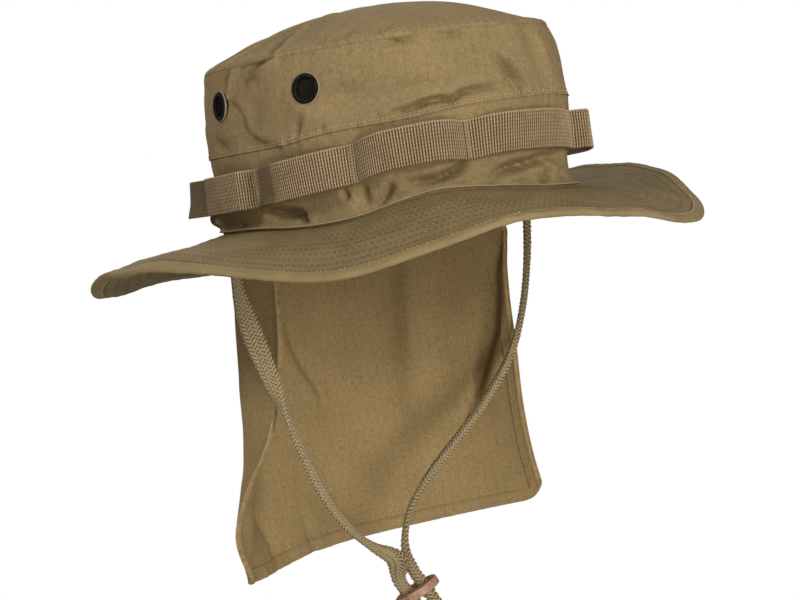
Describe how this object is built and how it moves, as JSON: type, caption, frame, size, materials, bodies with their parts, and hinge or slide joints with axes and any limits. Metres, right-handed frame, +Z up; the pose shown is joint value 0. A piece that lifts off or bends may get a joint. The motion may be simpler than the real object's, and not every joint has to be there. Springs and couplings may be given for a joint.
{
  "type": "jungle hat with neck flap",
  "caption": "Soft bush hat with a stitched brim, a webbing band of loops, vent eyelets, a hanging neck flap and a flat chin cord with a slider.",
  "frame": {"origin": "centre of the head opening, level with the seam between crown and brim, where a head holds the hat up", "axes": "+Z up, -Y the way the wearer looks, -X to the wearer's right, in metres"},
  "size_m": [0.2971, 0.331, 0.3478],
  "materials": {
    "crown_ripstop": "cotton ripstop, matt, small grid of thicker threads",
    "brim_cloth": "plain woven cotton, matt, quilted with rows of stitches",
    "webbing": "ribbed narrow webbing, matt",
    "flap_ripstop": "single cotton ripstop, matt",
    "cord_braid": "flat braid of tan and olive yarn",
    "slider_leather": "worn reddish-brown leather, semi-matt",
    "blackened_metal": "black lacquer, satin",
    "eyelet_mesh": "fine black wire mesh, matt"
  },
  "bodies": {
    "root": {"crown_top": "crown_ripstop", "crown_side": "crown_ripstop", "crown_band": "crown_ripstop", "eyelet_ring_right_front": "blackened_metal", "eyelet_screen_right_front": "eyelet_mesh", "eyelet_ring_right_rear": "blackened_metal", "eyelet_screen_right_rear": "eyelet_mesh", "eyelet_ring_left_front": "blackened_metal", "eyelet_screen_left_front": "eyelet_mesh", "eyelet_ring_left_rear": "blackened_metal", "eyelet_screen_left_rear": "eyelet_mesh", "brim": "brim_cloth", "brim_binding": "brim_cloth", "webbing_band": "webbing", "neck_flap": "flap_ripstop", "chin_cord_right": "cord_braid", "chin_cord_left": "cord_braid", "leather_slider": "slider_leather", "cord_knot": "cord_braid"}
  },
  "joints": []
}
